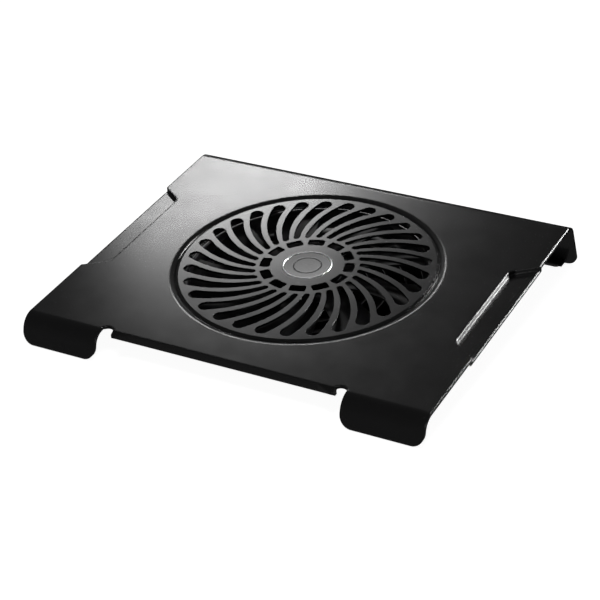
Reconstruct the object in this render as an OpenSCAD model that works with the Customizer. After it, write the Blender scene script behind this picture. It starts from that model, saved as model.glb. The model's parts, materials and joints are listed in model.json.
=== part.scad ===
// Laptop cooling pad: a one-piece deck on four splayed legs, with one large fan under a
// round grille of curved slots, and a small control box under the back edge.
//
// Every sub-part is drawn in the deck frame: X to the right, Y from the front lip to the
// back, Z square to the deck, and Z = 0 on the deck's top face. on_feet() tips the deck up
// at the back and sets the origin on the ground under the middle of the pad.

/* [Deck] */
// Width of the deck
deck_w = 389; // [380:1:395]
// Where the back bend starts, measured from the front lip
rear_bend_y = 295; // [290:1:300]
// Thickness of the deck and its legs
sheet_t = 3; // [2.5:0.1:3.2]
// Distance from the front lip to the fan's axis
fan_y = 153.7; // [152:0.1:155]

/* [Legs] */
// Outer radius of the bends into the legs
bend_r = 15; // [13:0.5:16]
// Where the front bends start
front_bend_y = -2.3; // [-4:0.1:-1]
// Lean of the front legs away from square to the deck
front_splay = 17; // [14:0.5:20]
// Lean of the back legs away from square to the deck
rear_splay = 18; // [15:0.5:21]
// Depth of the front legs below the deck's top face
front_drop = 24; // [22:0.5:26]
// Depth of the back legs below the deck's top face
rear_drop = 53.5; // [50:0.5:56]
// Radius of the legs' bottom corners
leg_corner_r = 11; // [8:0.5:13]
// Radius where the back legs run into the back edge
rear_fillet_r = 6; // [4:0.5:8]
// Depth of the back edge between the back legs
rear_edge_drop = 8; // [7:0.5:10]

/* [Front lip] */
// Depth of the lip between the front legs
lip_drop = 8.5; // [7:0.5:10]
// Radius of the lip's top edge
lip_r = 2.5; // [2:0.1:2.9]
// Distance of the relief notches from the middle
notch_x = 113.5; // [112:0.1:115]
// Radius of the relief notches
notch_r = 5.6; // [5:0.1:6]
// How far the lip's ends flare forward
ear_out = 7.2; // [6:0.1:8]
// Length of each flared end
ear_len = 15.5; // [12:0.5:18]

/* [Grips] */
// Depth of the grip recesses
grip_drop = 4.2; // [3.8:0.1:4.6]
// Thickness of the recess floor
grip_floor_t = 2.3; // [2:0.1:2.6]
// Distance from the middle to a recess's long wall
grip_in = 172.4; // [171:0.1:174]
// Where a recess meets the deck's side at the front
grip_front = 77.5; // [75:0.5:80]
// Where a recess meets the deck's side at the back
grip_rear = 227.5; // [225:0.5:230]
// Radius of the recess's inner corners
grip_r = 9; // [8:0.5:10]

/* [Grille] */
// Radius of the grille disc
grille_r = 119.4; // [119:0.1:119.6]
// Width of the slope round the grille's edge
grille_slope = 2.6; // [2:0.1:3]
// Thickness of the grille's plate
grille_t = 2.2; // [2:0.1:2.5]
// Number of curved slots
slot_count = 30; // [30:1:31]
// Half width of a slot at its outer end
slot_out_half = 6.3; // [5.8:0.1:6.4]
// Half width of a slot at its inner end
slot_in_half = 2.85; // [2.5:0.05:3]
// Bow of a slot's centre line
slot_bow = 5.5; // [5:0.1:6]
// Radius of the bevel round the grille, at the deck's top face
bevel_r = 124.6; // [124:0.1:125.4]
// Depth of that bevel
bevel_drop = 1.3; // [1:0.1:1.6]

/* [Badge] */
// Outer radius of the bright ring
badge_r = 22.6; // [22:0.1:23]
// Width of the bright ring
badge_ring_w = 1.3; // [1:0.1:1.6]

/* [Fan] */
// Number of blades
blade_count = 9; // [7:1:9]
// Radius at the blade tips
blade_tip_r = 106.5; // [105:0.5:107]
// Radius of the rotor's hub
hub_r = 32.6; // [32.4:0.1:33]
// Pitch of the blades
blade_pitch = 10; // [8:0.5:11]
// Inner radius of the fan's duct
duct_r = 109; // [108.5:0.1:109.2]
// Radius of the motor's shaft
shaft_r = 1.5; // [1.4:0.05:1.6]

/* [Control box] */
// Distance of the box's middle from the middle of the pad
box_x = 87; // [85:1:90]
// Width of the box
box_w = 50; // [48:1:52]
// Travel of the power switch
switch_travel = 4; // [3:0.5:4]

/* [Feet] */
// Height of the rubber pads
pad_h = 3.2; // [3:0.1:4]
// How far the pads stand below the legs
pad_proud = 1; // [0.8:0.1:1.4]
// Length of the pads
pad_l = 46; // [40:1:48]
// Width of the pads
pad_w = 9; // [8:0.5:10]

/* [Hidden] */
$fn = 96;

cut = 1;                             // how far a cutter runs past the face it opens
bite = 0.5;                          // how far joined shapes run into each other
side_x = deck_w / 2;
leg_in = notch_x + notch_r;          // inner side of the legs
lip_end = notch_x - notch_r;

// How far out a leg's outer face is at its bottom edge, from where its bend starts.
function leg_reach(splay, drop) =
    bend_r * cos(splay) + (drop - bend_r * (1 - sin(splay))) * tan(splay);
front_tip = [front_bend_y - leg_reach(front_splay, front_drop), -front_drop];
rear_tip = [rear_bend_y + leg_reach(rear_splay, rear_drop), -rear_drop];

// The deck's slope puts the four legs' bottom edges on one level.
tilt = atan((rear_drop - front_drop) / (rear_tip[0] - front_tip[0]));
function level_y(p) = p[0] * cos(tilt) - p[1] * sin(tilt);
function level_z(p) = p[0] * sin(tilt) + p[1] * cos(tilt);
mid_y = (level_y(front_tip) + level_y(rear_tip)) / 2;
rise = pad_proud - level_z(front_tip);

// Levels of the well and the fan under the deck, from the top down.
ledge_top = -5;
ledge_bottom = -7.5;
well_r = 120;
well_wall = 3;
ledge_r = 112;
hub_top = -6.5;
rotor_bottom = -18.9;
blade_top = -7;
blade_bottom = -17.6;
base_top = -20.5;
frame_bottom = -22.5;
guard_t = 2;
bearing_r = 3.25;

// Fasteners: [head radius, head height, shank radius].
small_screw = [1.9, 1.4, 0.75];
fan_screw = [2.8, 1.8, 1.2];
guard_screw = [1.9, 1.2, 0.85];
screw_play = 0.05;                   // shank to pilot hole
clear_play = 0.4;                    // shank to clearance hole
grille_screw_r = 115.8;
grille_screw_count = 6;
lug_r = 128;
lug_count = 4;
lug_t = 3;
boss_r = 4.5;
guard_boss_r = 114.6;
guard_boss_count = 4;

// The control box, in the deck frame.
box_front = 268;
box_back = 295;
box_bottom = -22;
box_wall = 1.8;
board_top = -16.2;
board_t = 1.4;
ear_x = 5;                           // screw centre to the box's side
box_boss_h = 5;
box_screw_y = 284;
socket_x = box_x - 11;
socket_size = [7.7, 9.2, 3.9];
socket_wall = 0.35;
switch_x = box_x + 11;
switch_size = [12, 6.2, 5];
knob_size = [3.5, 5.8, 2.4];
knob_z = board_top + switch_size[2] / 2;
post_xy = [[box_x - 19, 286], [box_x, 274]];

// The fan's lead runs in a groove under one strut, which points at the control box.
strut_angle = 56;
strut_w = 7;
strut_top = -19.5;
groove_w = 3.6;
wire_r = 0.75;
wire_gap = 0.8;                      // half the distance between the two wires
wire_z = -21.5;
lead_x = 78.5;
lead_z = -12.5;
plug_front = box_front + 4.5;         // front face of the lead's connector

function polar(r, a) = [r * cos(a), r * sin(a)];
function along(r, a, z) = [r * cos(a), fan_y + r * sin(a), z];

module on_feet() {
    translate([0, -mid_y, rise]) rotate([tilt, 0, 0]) children();
}

module at_fan() {
    translate([0, fan_y, 0]) children();
}

module around(count, first = 0) {
    for (i = [0 : count - 1]) rotate([0, 0, first + 360 * i / count]) children();
}

module ring(r_out, r_in, low, high) {
    translate([0, 0, low]) difference() {
        cylinder(r = r_out, h = high - low);
        translate([0, 0, -cut]) cylinder(r = r_in, h = high - low + 2 * cut);
    }
}

module disc(r, low, high) {
    translate([0, 0, low]) cylinder(r = r, h = high - low);
}

module box(low, high) {
    translate(low) cube(high - low);
}

module both_sides() {
    children();
    mirror([1, 0, 0]) children();
}

// A screw with its seat at the origin: the head hangs below, the shank stands above.
module screw(kind, length) {
    recess = kind[0] * 1.1;
    difference() {
        union() {
            translate([0, 0, -kind[1]]) cylinder(r = kind[0], h = kind[1]);
            cylinder(r = kind[2], h = length);
        }
        for (turn = [0, 90]) rotate([0, 0, turn])
            translate([-recess / 2, -0.3, -kind[1] - cut]) cube([recess, 0.6, cut + kind[1] / 2]);
    }
}

// A bar of length l and width w with round ends.
module stadium(l, w) {
    square([l - w, w], center = true);
    for (side = [-1, 1]) translate([side * (l - w) / 2, 0]) circle(r = w / 2);
}

// A curved strip between two points that narrows from one half width to the other. Its
// sides are two circles set off centre along the chord, which tapers it evenly.
module tapered_strip(p_out, p_in, half_out, half_in, bow, caps = true) {
    half = norm(p_out - p_in) / 2;
    t = (p_out - p_in) / (2 * half);
    n = [-t[1], t[0]];
    r = (half * half + bow * bow) / (2 * bow);
    centre = (p_out + p_in) / 2 + n * (bow - r);
    mean_half = (half_out + half_in) / 2;
    shift = (half_out - half_in) / 2 * r / half;
    intersection() {
        difference() {
            translate(centre + t * shift) circle(r = r + mean_half);
            translate(centre - t * shift) circle(r = r - mean_half);
        }
        polygon([centre, centre + 2 * (p_out - centre), centre + 2 * (p_in - centre)]);
    }
    if (caps) {
        translate(p_out) circle(r = half_out);
        translate(p_in) circle(r = half_in);
    }
}

// A circle at the origin that runs on into a straight leg: everything inside the line that
// leaves the circle after a turn.
module bent_outline(r, turn, run) {
    leave = r * [sin(turn), cos(turn)];
    tip = leave + run * [cos(turn), -sin(turn)];
    circle(r = r);
    polygon([[0, 0], leave, tip, [0, tip[1]]]);
}

// Section of a leg: a bend that starts at the origin and a straight run that leans out.
module leg_section(splay, drop) {
    turn = 90 - splay;
    run = (drop - bend_r * (1 - cos(turn))) / sin(turn) + sheet_t;
    translate([-bite, -sheet_t]) square([bite, sheet_t]);
    translate([0, -bend_r]) intersection() {
        difference() {
            bent_outline(bend_r, turn, run);
            bent_outline(bend_r - sheet_t, turn, run + 2 * sheet_t);
        }
        translate([0, -drop]) square([2 * drop, drop + bend_r]);
    }
}

// A section in Y and Z, drawn as [out, up], pulled along X between two places.
module pull_x(x0, x1) {
    translate([x0, 0, 0]) rotate([90, 0, 90]) linear_extrude(x1 - x0) children();
}

// Front view of one leg: a tall tab whose two bottom corners are round.
module leg_outline(drop) {
    low = -drop + leg_corner_r;
    translate([leg_in, low]) square([side_x - leg_in, drop]);
    translate([leg_in + leg_corner_r, -drop])
        square([side_x - leg_in - 2 * leg_corner_r, leg_corner_r + bite]);
    for (x = [leg_in + leg_corner_r, side_x - leg_corner_r])
        translate([x, low]) circle(r = leg_corner_r);
}

// Pulls a front view, drawn as [across, up], along Y between two places.
module pull_y(y0, y1) {
    translate([0, y1, 0]) rotate([90, 0, 0]) linear_extrude(y1 - y0) children();
}

module front_leg() {
    intersection() {
        translate([0, front_bend_y, 0]) mirror([0, 1, 0])
            pull_x(leg_in, side_x) leg_section(front_splay, front_drop);
        pull_y(front_tip[0] - cut, front_bend_y + bite) leg_outline(front_drop);
    }
}

// The back edge bends all the way across, and its middle stops short of the legs.
module rear_bend() {
    intersection() {
        translate([0, rear_bend_y, 0]) pull_x(-side_x, side_x) leg_section(rear_splay, rear_drop);
        pull_y(rear_bend_y - bite, rear_tip[0] + cut) {
            both_sides_2d() leg_outline(rear_drop);
            difference() {
                translate([-leg_in - bite, -rear_edge_drop - rear_fillet_r])
                    square([2 * (leg_in + bite), rear_edge_drop + rear_fillet_r + cut]);
                translate([-leg_in + rear_fillet_r, -rear_edge_drop - rear_fillet_r - cut])
                    square([2 * (leg_in - rear_fillet_r), rear_fillet_r + cut]);
                for (side = [-1, 1])
                    translate([side * (leg_in - rear_fillet_r), -rear_edge_drop - rear_fillet_r])
                        circle(r = rear_fillet_r);
            }
        }
    }
}

module both_sides_2d() {
    children();
    mirror([1, 0]) children();
}

module front_lip() {
    pull_x(-lip_end, lip_end) {
        translate([0, -lip_r]) circle(r = lip_r);
        translate([-lip_r, -lip_drop]) square([sheet_t, lip_drop - lip_r]);
        translate([0, -sheet_t]) square([sheet_t, sheet_t]);
    }
}

// The lip's end flares forward: a sloping tongue with a slanted outline in plan.
module lip_ear() {
    nose = 1.8;
    intersection() {
        pull_x(lip_end - ear_len, lip_end) polygon([[bite, 0], [-1.5, -0.2], [-ear_out + nose, -1.9],
            [-ear_out, -3], [-ear_out, -4.6], [-2, -lip_drop], [bite, -lip_drop]]);
        translate([0, 0, -lip_drop - cut]) linear_extrude(lip_drop + 2 * cut) {
            polygon([[lip_end - ear_len, bite + cut], [lip_end - ear_len, -lip_r],
                [lip_end - nose, -ear_out], [lip_end - nose, bite + cut]]);
            translate([lip_end - 2 * nose, -ear_out + nose])
                square([2 * nose, ear_out + bite + cut - nose]);
            translate([lip_end - nose, -ear_out + nose]) circle(r = nose);
        }
    }
}

// Plan of a grip recess, grown by a margin: its slanted ends touch the corner circles.
module grip_plan(margin) {
    r = grip_r + margin;
    c_x = grip_in + grip_r;
    out_x = side_x + cut;
    flare = 20.5;                    // from the side's end point to the corner's centre
    reach = norm([side_x - c_x, flare]);
    lean = 180 - atan2(flare, side_x - c_x) + asin(grip_r / reach);
    slope = tan(180 - lean);
    end_front = grip_front - margin / cos(180 - lean);
    end_rear = grip_rear + margin / cos(180 - lean);
    nose = r * [cos(lean + 90), sin(lean + 90)];
    y_front = grip_front + flare;
    y_rear = grip_rear - flare;
    polygon([[out_x, end_front - slope * cut], [c_x + nose[0], y_front + nose[1]],
        [c_x - r, y_front], [c_x - r, y_rear], [c_x + nose[0], y_rear - nose[1]],
        [out_x, end_rear + slope * cut]]);
    for (y = [y_front, y_rear]) translate([c_x, y]) circle(r = r);
}

module grip_cut() {
    translate([0, 0, -grip_drop]) linear_extrude(grip_drop + cut) grip_plan(0);
}

module grip_body() {
    wall = 2.5;
    intersection() {
        translate([0, 0, -grip_drop - grip_floor_t])
            linear_extrude(grip_drop + grip_floor_t) grip_plan(wall);
        box([0, 0, -grip_drop - grip_floor_t], [side_x, rear_bend_y, 0]);
    }
}

module pilot(kind, length) {
    translate([0, 0, -cut]) cylinder(r = kind[2] + screw_play, h = length + cut);
}

module clearance(kind, length) {
    translate([0, 0, -cut]) cylinder(r = kind[2] + clear_play, h = length + 2 * cut);
}

module box_screw_places() {
    for (side = [-1, 1])
        translate([box_x + side * (box_w / 2 + ear_x), box_screw_y, 0]) children();
}

module stiffening_ribs() {
    rib_t = 1.6;
    rib_h = 5;
    for (x = [137, 160]) box([x, 8, -sheet_t - rib_h], [x + rib_t, 288, -sheet_t + bite]);
}

// The ledge inside each leg that carries a rubber pad, drawn on the level.
module foot_flanges() {
    depth = 12;
    t = 2;
    for (end = [0, 1]) mirror([0, end, 0])
        box([leg_in + leg_corner_r, foot_line(end) - 1.6, pad_h],
            [side_x - leg_corner_r, foot_line(end) + depth, pad_h + t]);
}

// Level position of a leg's inner face at the height of its pad's top, from the middle
// outwards as a negative number: end 0 is the front, end 1 is the back.
function foot_line(end) = let (
    lean = end == 0 ? front_splay - tilt : rear_splay + tilt,
    tip = end == 0 ? level_y(front_tip) - mid_y : mid_y - level_y(rear_tip))
    tip + (pad_h - pad_proud) * tan(lean) + sheet_t / cos(lean);

module top_panel() {
    color("#202124") {
        on_feet() difference() {
            union() {
                box([-side_x, front_bend_y, -sheet_t], [side_x, rear_bend_y, 0]);
                front_lip();
                rear_bend();
                both_sides() {
                    front_leg();
                    lip_ear();
                    grip_body();
                    stiffening_ribs();
                }
                at_fan() {
                    disc(well_r + well_wall, ledge_bottom, bite - sheet_t);
                    around(lug_count, 45) translate([lug_r, 0, 0])
                        disc(boss_r, ledge_bottom, bite - sheet_t);
                }
                box_screw_places() disc(boss_r, -sheet_t - box_boss_h, bite - sheet_t);
            }
            both_sides() {
                box([lip_end, front_bend_y - cut, -sheet_t - cut], [leg_in, 0, cut]);
                translate([notch_x, notch_r / 2 - notch_r - 0.4, -lip_drop])
                    cylinder(r = notch_r, h = lip_drop + cut);
                grip_cut();
            }
            at_fan() {
                translate([0, 0, -bevel_drop]) cylinder(r1 = well_r, r2 = bevel_r, h = bevel_drop);
                disc(well_r, ledge_top, cut);
                disc(ledge_r, ledge_bottom - cut, cut);
                around(grille_screw_count) translate([grille_screw_r, 0, ledge_bottom])
                    clearance(small_screw, ledge_top - ledge_bottom);
                around(lug_count, 45) translate([lug_r, 0, ledge_bottom]) pilot(fan_screw, 5.3);
            }
            box_screw_places() translate([0, 0, -sheet_t - box_boss_h]) pilot(fan_screw, 5.8);
        }
        both_sides() foot_flanges();
    }
}

module grille_slot() {
    tapered_strip(polar(106.2, 0.5), polar(49.7, 21.2), slot_out_half, slot_in_half, slot_bow);
}

module grille_window() {
    intersection() {
        difference() {
            circle(r = 43.4);
            circle(r = 33.9);
        }
        translate([38.6, 0]) {
            square([10.4, 9.6], center = true);
            square([4.8, 15.2], center = true);
            for (x = [-1, 1], y = [-1, 1]) translate([2.4 * x, 4.8 * y]) circle(r = 2.8);
        }
    }
}

module fan_grille() {
    skirt_in = ledge_r + 0.2;
    color("#26272a") on_feet() at_fan() difference() {
        rotate_extrude() polygon([[0, 0], [grille_r - grille_slope, 0], [grille_r, -bevel_drop],
            [grille_r, ledge_top], [skirt_in, ledge_top], [skirt_in, -grille_t], [0, -grille_t]]);
        translate([0, 0, -grille_t - cut]) linear_extrude(grille_t + 2 * cut) {
            for (i = [0 : slot_count - 1]) rotate(360 * i / slot_count) grille_slot();
            for (i = [0 : 11]) rotate(30 * i + 15) grille_window();
        }
        disc(badge_r + 0.1, -1, cut);
        around(grille_screw_count) translate([grille_screw_r, 0, ledge_top]) pilot(small_screw, 3.6);
    }
}

module badge_ring() {
    color("#c9ccd0") on_feet() at_fan() rotate_extrude() polygon([[badge_r - badge_ring_w, -1],
        [badge_r, -1], [badge_r, 0.15], [badge_r - 0.35, 0.4], [badge_r - badge_ring_w + 0.35, 0.4],
        [badge_r - badge_ring_w, 0.1]]);
}

module badge_disc() {
    color("#5c5e62") on_feet() at_fan() {
        disc(badge_r - badge_ring_w - 0.1, -1, -0.2);
        ring(13, 12.2, -0.2, 0);
    }
}

module grille_screws() {
    color("#303134") on_feet() at_fan() around(grille_screw_count)
        translate([grille_screw_r, 0, ledge_bottom]) screw(small_screw, 5.6);
}

module fan_frame() {
    duct_wall = 2.8;
    tube_r = 5.1;
    pocket = -21.7;
    color("#2b2c2f") on_feet() at_fan() difference() {
        union() {
            rotate([0, 0, 22.5]) ring(duct_r + duct_wall, duct_r, frame_bottom, ledge_bottom);
            around(lug_count, 45) {
                translate([lug_r, 0, 0]) disc(boss_r + 0.5, ledge_bottom - lug_t, ledge_bottom);
                box([duct_r + bite, -boss_r, ledge_bottom - lug_t], [lug_r, boss_r, ledge_bottom]);
            }
            around(guard_boss_count) translate([guard_boss_r, 0, 0]) disc(3.2, frame_bottom, -13.5);
            around(4, strut_angle)
                box([28, -strut_w / 2, frame_bottom], [duct_r + bite, strut_w / 2, strut_top]);
            disc(30, frame_bottom, base_top);
            disc(tube_r, base_top - bite, -10.3);
        }
        disc(bearing_r, pocket, 0);
        around(lug_count, 45) translate([lug_r, 0, ledge_bottom - lug_t]) clearance(fan_screw, lug_t);
        around(guard_boss_count) translate([guard_boss_r, 0, frame_bottom]) pilot(guard_screw, 6);
        rotate([0, 0, strut_angle]) box([14, -groove_w / 2, frame_bottom - cut],
            [duct_r + duct_wall + cut, groove_w / 2, base_top]);
    }
}

module fan_screws() {
    color("#3a3b3e") on_feet() at_fan() around(lug_count, 45)
        translate([lug_r, 0, ledge_bottom - lug_t]) screw(fan_screw, 7.8);
}

// One blade: a thin cambered plate at a pitch, cut to a swept outline that widens outwards.
module blade() {
    camber_r = 110;
    blade_t = 1.8;
    mid_z = (blade_top + blade_bottom) / 2;
    intersection() {
        translate([0, 0, blade_bottom]) linear_extrude(blade_top - blade_bottom) intersection() {
            tapered_strip([114, 0], [26, 0], 29, 11, 9, false);
            difference() {
                circle(r = blade_tip_r);
                circle(r = hub_r - bite);
            }
        }
        translate([0, 0, mid_z]) rotate([-blade_pitch, 0, 0]) translate([0, 0, 1.5 - camber_r])
            rotate([0, 90, 0]) difference() {
                cylinder(r = camber_r, h = 120);
                translate([0, 0, -cut]) cylinder(r = camber_r - blade_t, h = 120 + 2 * cut);
            }
    }
}

module impeller() {
    wall = 2;
    roof = 1.8;
    color("#17181a") on_feet() at_fan() difference() {
        union() {
            disc(hub_r, rotor_bottom, hub_top);
            around(blade_count, 4) blade();
        }
        disc(hub_r - wall, rotor_bottom - cut, hub_top - roof - 1.4);
        ring(hub_r - wall, 4.4, hub_top - roof - 1.4 - bite, hub_top - roof);
        disc(shaft_r, rotor_bottom, -6.9);
    }
}

module rotor_yoke() {
    color("#8b8e92") on_feet() at_fan() {
        ring(30.5, 4.5, -9.5, -8.3);
        ring(30.5, 28.6, rotor_bottom + 0.2, -9.5);
    }
}

module rotor_magnet() {
    color("#3c3f45") on_feet() at_fan() ring(28.5, 26.4, rotor_bottom + 0.4, -10);
}

module rotor_shaft() {
    color("#d0d3d6") on_feet() at_fan() difference() {
        disc(shaft_r, -21.15, -6.9);
        ring(shaft_r + cut, shaft_r - 0.4, -20.9, -20.4);
    }
}

module shaft_clip() {
    color("#b5b8bb") on_feet() at_fan() ring(2.6, shaft_r - 0.4, -20.9, -20.4);
}

module bearing_sleeve() {
    color("#b08d4f") on_feet() at_fan() ring(bearing_r, shaft_r + 0.03, -20, -10.8);
}

module thrust_pad() {
    color("#e8e4d8") on_feet() at_fan() disc(3.2, -21.7, -21.2);
}

// Plan of the stator: four arms with curved pole shoes, drawn with a given arm width.
module stator_plan(arm_w, shoe_in) {
    difference() {
        union() {
            circle(r = 8.5);
            for (i = [0 : 3]) rotate(90 * i) translate([0, -arm_w / 2]) square([shoe_in + bite, arm_w]);
            for (i = [0 : 3]) rotate(90 * i) intersection() {
                difference() {
                    circle(r = 25.6);
                    circle(r = shoe_in);
                }
                polygon([[0, 0], polar(40, -36), [40, 0], polar(40, 36)]);
            }
        }
        circle(r = 5.2);
    }
}

module stator_core() {
    color("#6f7277") on_feet() at_fan() translate([0, 0, -17]) linear_extrude(5) stator_plan(6, 22);
}

module stator_insulator() {
    color("#e3e0d6") on_feet() at_fan() for (z = [-18, -12])
        translate([0, 0, z]) linear_extrude(1) stator_plan(7, 21);
}

module stator_windings() {
    color("#b5652b") on_feet() at_fan() around(4) difference() {
        box([10, -5.6, -18.8], [20, 5.6, -10.2]);
        box([9, -3.6, -18.05], [21, 3.6, -10.95]);
    }
}

module motor_board() {
    color("#1f5a3a") on_feet() at_fan() {
        ring(24, 5.3, -20.5, -19.5);
    }
}

module bottom_guard() {
    ring_w = 2.2;
    low = frame_bottom - guard_t;
    color("#222326") on_feet() at_fan() difference() {
        union() {
            disc(24, low, frame_bottom);
            for (r = [40, 56, 72, 88]) ring(r + ring_w / 2, r - ring_w / 2, low, frame_bottom);
            ring(duct_r + 2.6, 103.5, low, frame_bottom);
            around(8, 22.5) box([20, -2, low], [105, 2, frame_bottom]);
            around(guard_boss_count) {
                translate([guard_boss_r, 0, 0]) disc(3.6, low, frame_bottom);
            }
        }
        around(guard_boss_count) translate([guard_boss_r, 0, low]) clearance(guard_screw, guard_t);
    }
}

module guard_screws() {
    color("#3a3b3e") on_feet() at_fan() around(guard_boss_count)
        translate([guard_boss_r, 0, frame_bottom - guard_t]) screw(guard_screw, 7.5);
}

// A wire along a list of points: straight runs that cross at each turn.
module wire(points) {
    overrun = wire_r / 2;
    for (i = [0 : len(points) - 2]) {
        step = points[i + 1] - points[i];
        translate(points[i]) rotate([0, acos(step[2] / norm(step)), atan2(step[1], step[0])])
            translate([0, 0, -overrun]) cylinder(r = wire_r, h = norm(step) + 2 * overrun);
    }
}

module fan_lead() {
    across = [-sin(strut_angle), cos(strut_angle), 0];
    color("#b3231f") on_feet() for (side = [-1, 1]) wire([
        along(15, strut_angle, wire_z) - side * wire_gap * across,
        along(113, strut_angle, wire_z) - side * wire_gap * across,
        along(124, strut_angle, lead_z) - side * wire_gap * across,
        [lead_x + side * wire_gap, box_front - 3, lead_z],
        [lead_x + side * wire_gap, plug_front + 1.5, lead_z]]);
}

module control_housing() {
    left = box_x - box_w / 2;
    right = box_x + box_w / 2;
    ear_z = -sheet_t - box_boss_h;
    color("#232427") on_feet() difference() {
        union() {
            box([left, box_front, box_bottom], [right, box_back, -sheet_t]);
            box_screw_places() disc(boss_r, ear_z - 2.5, ear_z);
            box([left - ear_x, box_screw_y - boss_r, ear_z - 2.5],
                [right + ear_x, box_screw_y + boss_r, ear_z]);
        }
        difference() {
            box([left + box_wall, box_front + box_wall, box_bottom + box_wall],
                [right - box_wall, box_back - box_wall, -sheet_t + cut]);
            for (p = post_xy) translate(p) disc(2.2, box_bottom, board_top - board_t);
        }
        for (p = post_xy) translate([p[0], p[1], box_bottom + box_wall + 0.3])
            cylinder(r = small_screw[2] + screw_play, h = 20);
        box_screw_places() translate([0, 0, ear_z - 2.5]) clearance(fan_screw, 2.5);
        box([socket_x - socket_size[0] / 2 - 0.3, box_back - box_wall - cut, board_top - 0.3],
            [socket_x + socket_size[0] / 2 + 0.3, box_back + cut, board_top + socket_size[2] + 0.3]);
        box([switch_x - switch_travel / 2 - 2.2, box_back - box_wall - cut, knob_z - 1.6],
            [switch_x + switch_travel / 2 + 2.2, box_back + cut, knob_z + 1.6]);
        translate([lead_x, box_front - cut, lead_z]) rotate([-90, 0, 0])
            cylinder(r = 2.2, h = box_wall + 2 * cut);
    }
}

module housing_screws() {
    color("#3a3b3e") on_feet() box_screw_places()
        translate([0, 0, -sheet_t - box_boss_h - 2.5]) screw(fan_screw, 7.5);
}

module control_board() {
    color("#1f5a3a") on_feet() difference() {
        union() {
            box([box_x - 22.5, box_front + 2.6, board_top - board_t], [box_x + 22.5, 291.5, board_top]);
            box([box_x + 6, 274, board_top - bite], [box_x + 12, 279, board_top + 1.4]);
            box([box_x + 14, 273, board_top - bite], [box_x + 19, 276, board_top + 0.9]);
        }
        for (p = post_xy) translate([p[0], p[1], board_top - board_t]) clearance(small_screw, board_t);
    }
}

module board_screws() {
    color("#8b8e92") on_feet() for (p = post_xy)
        translate([p[0], p[1], board_top]) mirror([0, 0, 1]) screw(small_screw, 3.4);
}

module fan_connector() {
    color("#e9e6dc") on_feet() difference() {
        box([lead_x - 3, plug_front, board_top], [lead_x + 3, plug_front + 4.5, lead_z + 2]);
        box([lead_x - 1.8, plug_front - cut, lead_z - 0.9],
            [lead_x + 1.8, plug_front + 2.4, lead_z + 0.9]);
    }
}

module power_socket_shell() {
    half = socket_size[0] / 2;
    y0 = box_back + 0.1 - socket_size[1];
    color("#c6c9cc") on_feet() difference() {
        box([socket_x - half, y0, board_top],
            [socket_x + half, box_back + 0.1, board_top + socket_size[2]]);
        box([socket_x - half + socket_wall, y0 + 0.6, board_top + socket_wall],
            [socket_x + half - socket_wall, box_back + cut, board_top + socket_size[2] - socket_wall]);
    }
}

module power_socket_tongue() {
    y0 = box_back + 0.7 - socket_size[1];
    mid_z = board_top + socket_size[2] / 2;
    color("#101113") on_feet() box([socket_x - 2.5, y0, mid_z - 0.1],
        [socket_x + 2.5, y0 + 6.8, mid_z + 0.8]);
}

module switch_body() {
    color("#141517") on_feet() difference() {
        box([switch_x - switch_size[0] / 2, 286.6, board_top],
            [switch_x + switch_size[0] / 2, 286.6 + switch_size[1], board_top + switch_size[2]]);
        box([switch_x - switch_travel / 2 - 2.2, 290.6, knob_z - 1.6],
            [switch_x + switch_travel / 2 + 2.2, 294, knob_z + 1.6]);
    }
}

module switch_knob() {
    x0 = switch_x - switch_travel / 2 - knob_size[0] / 2;
    color("#0c0d0e") on_feet() difference() {
        box([x0, 291, knob_z - knob_size[2] / 2],
            [x0 + knob_size[0], 291 + knob_size[1], knob_z + knob_size[2] / 2]);
        for (i = [1 : 3]) box([x0 + i * 0.85 - 0.15, 290.6 + knob_size[1], knob_z - knob_size[2]],
            [x0 + i * 0.85 + 0.2, 292 + knob_size[1], knob_z + knob_size[2]]);
    }
}

// A rubber pad under a leg's ledge: side is -1 or 1, end is 0 at the front, 1 at the back.
module foot_pad(side, end) {
    gap = 0.5;
    mid_x = (leg_in + side_x) / 2;
    color("#0e0e0f") mirror([0, end, 0])
        translate([side * mid_x, foot_line(end) + gap + pad_w / 2, 0])
            linear_extrude(pad_h) stadium(pad_l, pad_w);
}

module front_left_foot() { foot_pad(-1, 0); }
module front_right_foot() { foot_pad(1, 0); }
module rear_left_foot() { foot_pad(-1, 1); }
module rear_right_foot() { foot_pad(1, 1); }

top_panel();
fan_grille();
badge_ring();
badge_disc();
grille_screws();
fan_frame();
fan_screws();
impeller();
rotor_yoke();
rotor_magnet();
rotor_shaft();
shaft_clip();
bearing_sleeve();
thrust_pad();
stator_core();
stator_insulator();
stator_windings();
motor_board();
bottom_guard();
guard_screws();
fan_lead();
control_housing();
housing_screws();
control_board();
board_screws();
fan_connector();
power_socket_shell();
power_socket_tongue();
switch_body();
switch_knob();
front_left_foot();
front_right_foot();
rear_left_foot();
rear_right_foot();
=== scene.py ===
"""Looks of a laptop cooling pad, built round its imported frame.

The frame carries the shapes and the moving bodies. This script rounds the frame's edges, adds
the pieces that a plain solid can't show (the badge, the coils, the lead's two wires and the
rubber treads), gives every surface its finish, and sets up the studio.

Places come from the frame: the fan's joint gives the deck's slope and the fan's axis, and the
boxes of the frame's nodes give the rest. Lengths are metres.
"""

import json
import logging
import math
from dataclasses import dataclass, field
from enum import Enum
from typing import Sequence

import bmesh
import bpy
import numpy as np
from mathutils import Matrix, Vector


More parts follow.
